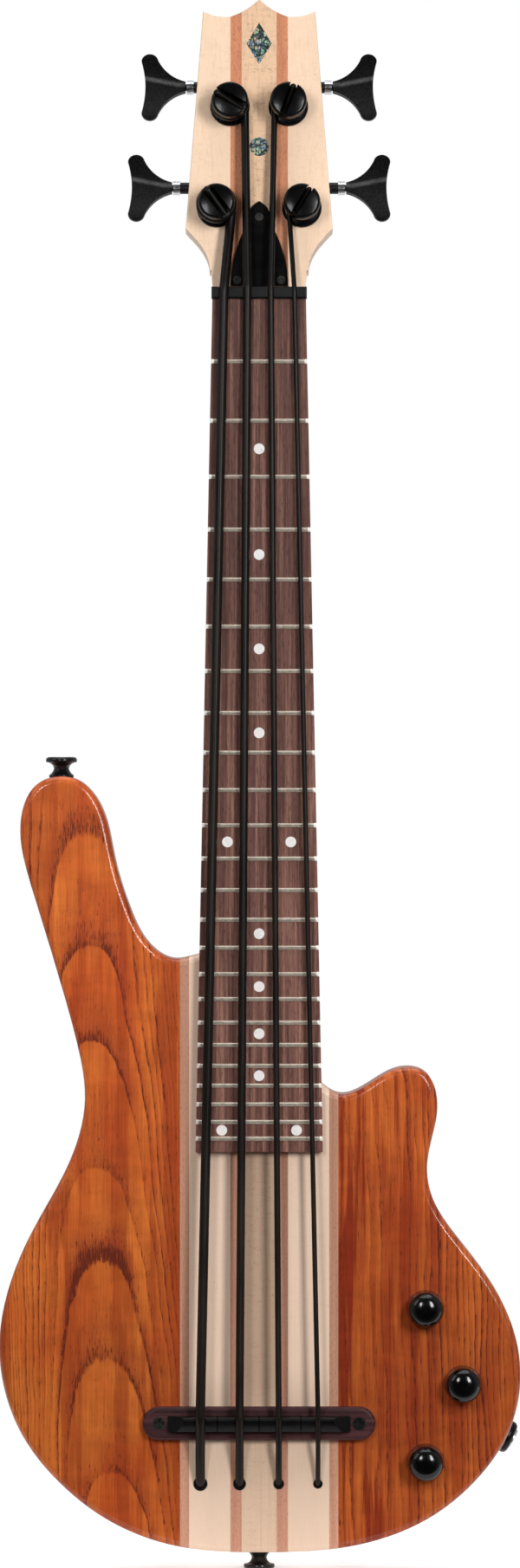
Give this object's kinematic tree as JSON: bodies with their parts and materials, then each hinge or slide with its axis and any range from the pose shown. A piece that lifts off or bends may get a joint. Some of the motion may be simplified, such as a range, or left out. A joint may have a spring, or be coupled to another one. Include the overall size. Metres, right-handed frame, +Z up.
{
  "type": "electric bass ukulele",
  "caption": "Short-scale solid-body bass ukulele with a neck-through laminated body, soft thick strings, geared tuning machines, bar bridge, rotary controls and an output socket.",
  "frame": {"origin": "on the centreline and the neck's front plane, where the open strings leave the nut", "axes": "+Z up the neck, +X to the right of someone facing the strings, +Y from the front to the back"},
  "size_m": [0.2443, 0.0557, 0.7389],
  "materials": {
    "wing_wood": "satin orange-brown stain over open figured grain",
    "wing_wood_treble": "satin red-brown stain over straight grain",
    "maple": "clear satin",
    "mahogany": "clear satin",
    "rosewood": "oiled",
    "bridge_wood": "oiled, nearly black",
    "fret_metal": "polished nickel silver",
    "pearl": "pearl",
    "abalone": "polished shell",
    "nut_black": "satin",
    "saddle_black": "satin",
    "cover_black": "gloss",
    "hardware_black": "black plated, satin",
    "key_black": "black plated, satin",
    "post_black": "black plated, gloss",
    "screw_black": "black oxide",
    "washer_metal": "polished",
    "steel": "machined",
    "brass_nut": "machined",
    "string_black": "smooth polyurethane, satin",
    "knob_black": "gloss",
    "piezo": "plain",
    "circuit_board": "matt",
    "battery_case": "satin",
    "socket_metal": "plated"
  },
  "bodies": {
    "root": {"body_wing_bass": "wing_wood", "body_wing_treble": "wing_wood_treble", "lamination_centre": "maple", "laminations_outer": "maple", "stripes_inner": "mahogany", "stripes_outer": "mahogany", "head_inlays": "abalone", "fretboard": "rosewood", "frets": "fret_metal", "fret_markers": "pearl", "nut": "nut_black", "truss_rod": "steel", "truss_rod_cover": "cover_black", "bridge_base": "bridge_wood", "bridge_saddles": "saddle_black", "pickup_elements": "piezo", "string_ferrules": "hardware_black", "tuner_housings": "hardware_black", "tuner_bushings": "hardware_black", "tuner_key_washers": "washer_metal", "pot_cases": "steel", "pot_nuts": "steel", "control_cover": "cover_black", "preamp_board": "circuit_board", "battery": "battery_case", "jack_barrel": "socket_metal", "jack_nut": "hardware_black", "strap_buttons": "hardware_black", "screws": "screw_black", "string_e": "string_black", "string_a": "string_black", "string_d": "string_black", "string_g": "string_black"},
    "key_e": {"tuner_key_e": "key_black", "tuner_worm_e": "steel"},
    "post_e": {"tuner_post_e": "post_black", "tuner_gear_e": "brass_nut", "string_wrap_e": "string_black"},
    "key_a": {"tuner_key_a": "key_black", "tuner_worm_a": "steel"},
    "post_a": {"tuner_post_a": "post_black", "tuner_gear_a": "brass_nut", "string_wrap_a": "string_black"},
    "key_d": {"tuner_key_d": "key_black", "tuner_worm_d": "steel"},
    "post_d": {"tuner_post_d": "post_black", "tuner_gear_d": "brass_nut", "string_wrap_d": "string_black"},
    "key_g": {"tuner_key_g": "key_black", "tuner_worm_g": "steel"},
    "post_g": {"tuner_post_g": "post_black", "tuner_gear_g": "brass_nut", "string_wrap_g": "string_black"},
    "knob_volume": {"knob_volume": "knob_black", "pot_shaft_volume": "steel"},
    "knob_bass": {"knob_bass": "knob_black", "pot_shaft_bass": "steel"},
    "knob_treble": {"knob_treble": "knob_black", "pot_shaft_treble": "steel"},
    "truss_nut": {"truss_rod_nut": "brass_nut"}
  },
  "joints": [
    {"name": "tune_e", "type": "hinge", "parent": "root", "child": "key_e", "pos_m": [-0.02, 0.02645, 0.05384], "axis": [1, 0, 0], "continuous": true},
    {"name": "wind_e", "type": "hinge", "parent": "root", "child": "post_e", "pos_m": [-0.02, 0.00605, 0.04308], "axis": [0, -0.9903, 0.1392], "continuous": true},
    {"name": "tune_a", "type": "hinge", "parent": "root", "child": "key_a", "pos_m": [-0.0137, 0.0332, 0.10187], "axis": [1, 0, 0], "continuous": true},
    {"name": "wind_a", "type": "hinge", "parent": "root", "child": "post_a", "pos_m": [-0.0137, 0.0128, 0.0911], "axis": [0, -0.9903, 0.1392], "continuous": true},
    {"name": "tune_d", "type": "hinge", "parent": "root", "child": "key_d", "pos_m": [0.0137, 0.0332, 0.10187], "axis": [1, 0, 0], "continuous": true},
    {"name": "wind_d", "type": "hinge", "parent": "root", "child": "post_d", "pos_m": [0.0137, 0.0128, 0.0911], "axis": [0, -0.9903, 0.1392], "continuous": true},
    {"name": "tune_g", "type": "hinge", "parent": "root", "child": "key_g", "pos_m": [0.02, 0.02645, 0.05384], "axis": [1, 0, 0], "continuous": true},
    {"name": "wind_g", "type": "hinge", "parent": "root", "child": "post_g", "pos_m": [0.02, 0.00605, 0.04308], "axis": [0, -0.9903, 0.1392], "continuous": true},
    {"name": "turn_volume", "type": "hinge", "parent": "root", "child": "knob_volume", "pos_m": [0.0779, 0, -0.473], "axis": [0, -1, 0], "range_deg": [-150, 150]},
    {"name": "turn_bass", "type": "hinge", "parent": "root", "child": "knob_bass", "pos_m": [0.0954, 0, -0.5083], "axis": [0, -1, 0], "range_deg": [-150, 150]},
    {"name": "turn_treble", "type": "hinge", "parent": "root", "child": "knob_treble", "pos_m": [0.0779, 0, -0.5449], "axis": [0, -1, 0], "range_deg": [-150, 150]},
    {"name": "truss_adjust", "type": "hinge", "parent": "root", "child": "truss_nut", "pos_m": [0, 0.006, 0.013], "axis": [0, 0, 1], "range_deg": [-180, 180]}
  ],
  "couplings": [
    {"joint": "wind_e", "follows": "tune_e", "ratio": 0.05},
    {"joint": "wind_a", "follows": "tune_a", "ratio": 0.05},
    {"joint": "wind_d", "follows": "tune_d", "ratio": 0.05},
    {"joint": "wind_g", "follows": "tune_g", "ratio": 0.05}
  ]
}
